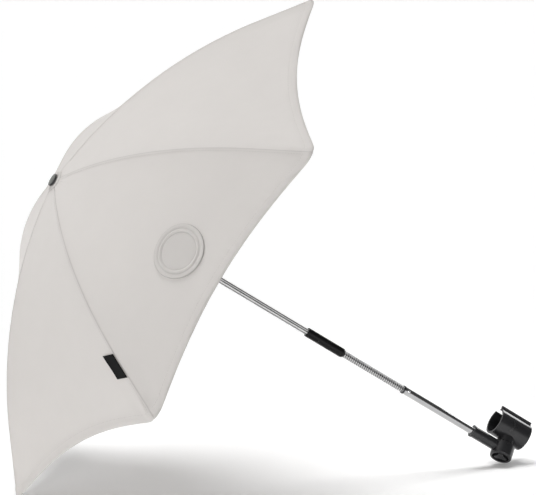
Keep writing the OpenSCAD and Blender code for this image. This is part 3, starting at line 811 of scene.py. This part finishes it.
# Upper shaft: a bright tube with four pairs of narrow rolled grooves, painted dark as shade
def shaft():
    around = 288
    a = np.linspace(0, 2 * math.pi, around, endpoint=False)[None, :]
    between = np.linspace(SHAFT_FOOT + MM, SHAFT_TOP - MM, 60)
    z = np.concatenate([[SHAFT_FOOT], between, [SHAFT_TOP]])[:, None]
    off = np.abs((np.degrees(a) - GROOVE_AT + 45) % 90 - 45) - GROOVE_APART / 2
    groove_and_shade = np.exp(-(off / GROOVE_HALF_W) ** 4) + 0 * z
    r = SHAFT_R - GROOVE_DEPTH * groove_and_shade
    points = np.stack([r * np.cos(a), r * np.sin(a), z + 0 * a], -1) + MAST
    faces = grid_faces(len(z), around, closed=True)
    obj = piece("shaft_grooved", points.reshape(-1, 3), faces, shaft_metal)
    # Painted shade: marks the grooves to be painted dark
    mark(obj, "groove_and_shade", np.clip(1.6 * groove_and_shade, 0, 1))
    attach(obj, "mast")
    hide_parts("upper_shaft")


shaft()


# Thread ties that hold the cover to each rib
def ties(k):
    around, tube = 22, 6
    places, apart = (0.085, 0.205, 0.30), 0.0007
    below, half_w, half_h, thick = 0.0030, 0.0017, 0.0020, 0.00028
    side = np.array([0, 1, 0])
    verts, faces = [], []
    for r in places:
        slope = math.asin(min((r - CENTRE[0]) / BEND_R, math.sin(RIM_SLOPE)))
        centre = np.array([r, 0, float(skin(np.array(r)))])
        along = np.array([math.cos(slope), 0, -math.sin(slope)])
        up = np.array([math.sin(slope), 0, math.cos(slope)])
        for shift in (-apart, 0.0, apart):
            middle = centre - up * below + along * shift
            first = len(verts)
            for i in range(around):
                a = 2 * math.pi * i / around
                out = side * math.cos(a) + up * math.sin(a)
                ring = middle + side * math.cos(a) * half_w + up * math.sin(a) * half_h
                for j in range(tube):
                    b = 2 * math.pi * j / tube
                    verts.append(ring + (out * math.cos(b) + along * math.sin(b)) * thick)
            faces += grid_faces(around, tube, closed=True, first=first, ring=True)
    points = at_rib(np.array(verts), k)
    uv = [(p[0], p[2]) for p in points]
    obj = piece(f"rib_ties_{k}", points, faces, thread, uv)
    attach(obj, f"rib_{k}")


for k in range(1, RIBS + 1):
    ties(k)


# Floor, light and world
UP = Vector((0.4428, 0.7167, 0.5383)).normalized()
FLOOR_AT = -0.0425
FLOOR_HALF = 12.0
FLOOR_GLOW = 0.13
AMBIENT = 0.2
# Dark patch of the studio seen in gloss: where it is, and the half angles of its edge and core
DARK_AZIMUTH = 50
DARK_DROP = -0.33
DARK_EDGE = 93
DARK_CORE = 28
STUDIO_BRIGHT = 0.92
STUDIO_DARK = 0.1


def floor():
    """A white floor that is clear from below and stays out of the export."""
    s = Shader("studio_floor")
    s.tree.nodes.remove(s.bsdf)
    matt = s.node("ShaderNodeBsdfDiffuse")
    matt.inputs["Color"].default_value = (0.97, 0.97, 0.97, 1)
    glow = s.node("ShaderNodeEmission")
    glow.inputs["Strength"].default_value = FLOOR_GLOW
    lit = s.node("ShaderNodeAddShader")
    s.link(matt, 0, lit, 0)
    s.link(glow, 0, lit, 1)
    clear = s.node("ShaderNodeBsdfTransparent")
    sides = s.node("ShaderNodeNewGeometry")
    choice = s.node("ShaderNodeMixShader")
    s.link(sides, "Backfacing", choice, 0)
    s.link(lit, 0, choice, 1)
    s.link(clear, 0, choice, 2)
    s.link(choice, 0, s.out, 0)
    mesh = bpy.data.meshes.new("studio_floor")
    corners = [(x * FLOOR_HALF, y * FLOOR_HALF, 0) for x, y in ((-1, -1), (1, -1), (1, 1), (-1, 1))]
    mesh.from_pydata(corners, [], [(0, 1, 2, 3)])
    mesh.materials.append(s.material)
    plane = bpy.data.objects.new("studio_floor", mesh)
    tilt = UP.to_track_quat("Z", "Y").to_matrix().to_4x4()
    plane.matrix_world = Matrix.Translation(UP * FLOOR_AT) @ tilt
    bpy.context.scene.collection.objects.link(plane)


def lamp(name, towards, distance, size, power, at, low=None):
    data = bpy.data.lights.new(name, "AREA")
    data.shape = "ELLIPSE"
    data.size, data.size_y = size, low or size
    data.energy = power
    obj = bpy.data.objects.new(name, data)
    direction = Vector(towards).normalized()
    obj.location = Vector(at) + direction * distance
    obj.visible_camera = False
    obj.rotation_euler = direction.to_track_quat("Z", "Y").to_euler()
    bpy.context.scene.collection.objects.link(obj)


def sun(name, towards, energy, spread):
    data = bpy.data.lights.new(name, "SUN")
    data.energy = energy
    data.angle = math.radians(spread)
    obj = bpy.data.objects.new(name, data)
    obj.rotation_euler = Vector(towards).to_track_quat("Z", "Y").to_euler()
    bpy.context.scene.collection.objects.link(obj)


def world():
    """White where the camera looks past everything, and a studio with a dark patch in gloss."""
    made = bpy.data.worlds.new("studio")
    bpy.context.scene.world = made
    w = Nodes(made)
    out = w.node("ShaderNodeOutputWorld")
    rays = w.node("ShaderNodeLightPath")
    ambient = w.node("ShaderNodeBackground")
    ambient.inputs[1].default_value = AMBIENT
    white = w.node("ShaderNodeBackground")
    white.inputs[0].default_value = (1, 1, 1, 1)
    studio = w.node("ShaderNodeBackground")
    place = w.node("ShaderNodeTexCoord")
    azimuth = math.radians(DARK_AZIMUTH)
    middle = Vector((math.cos(azimuth), math.sin(azimuth), DARK_DROP)).normalized()
    aim = w.node("ShaderNodeVectorMath", operation="DOT_PRODUCT")
    aim.inputs[1].default_value = middle
    w.link(place, "Generated", aim, 0)
    edge, core = math.cos(math.radians(DARK_EDGE)), math.cos(math.radians(DARK_CORE))
    patch = w.ramp(aim.outputs["Value"], edge, core, STUDIO_BRIGHT, STUDIO_DARK,
                   interpolation_type="SMOOTHSTEP")
    w.join(patch, studio, 1)
    seen = w.node("ShaderNodeMath", operation="MAXIMUM")
    w.link(rays, "Is Camera Ray", seen, 0)
    w.link(rays, "Is Transmission Ray", seen, 1)
    first = w.node("ShaderNodeMixShader")
    w.link(rays, "Is Glossy Ray", first, 0)
    w.link(ambient, 0, first, 1)
    w.link(studio, 0, first, 2)
    second = w.node("ShaderNodeMixShader")
    w.link(seen, 0, second, 0)
    w.link(first, 0, second, 1)
    w.link(white, 0, second, 2)
    w.link(second, 0, out, 0)


floor()
sun("key", (0.1346, 0.8759, 0.5798), energy=2.16, spread=29)
sun("along_mast", (-0.266, -0.43, 1.0), energy=1.25, spread=60)
sun("front", (1.0, -0.6, 0.02), energy=0.95, spread=40)
lamp("fill", (0.15, -0.85, 0.5), distance=3.2, size=2.5, power=22, at=(0, -0.1, 0.45))
lamp("card", (-0.19, 0.93, -0.315), distance=0.3, size=0.15, power=0.2, at=(0.015, 0.011, 0),
     low=0.12)
world()
bpy.context.scene.view_settings.view_transform = "Standard"
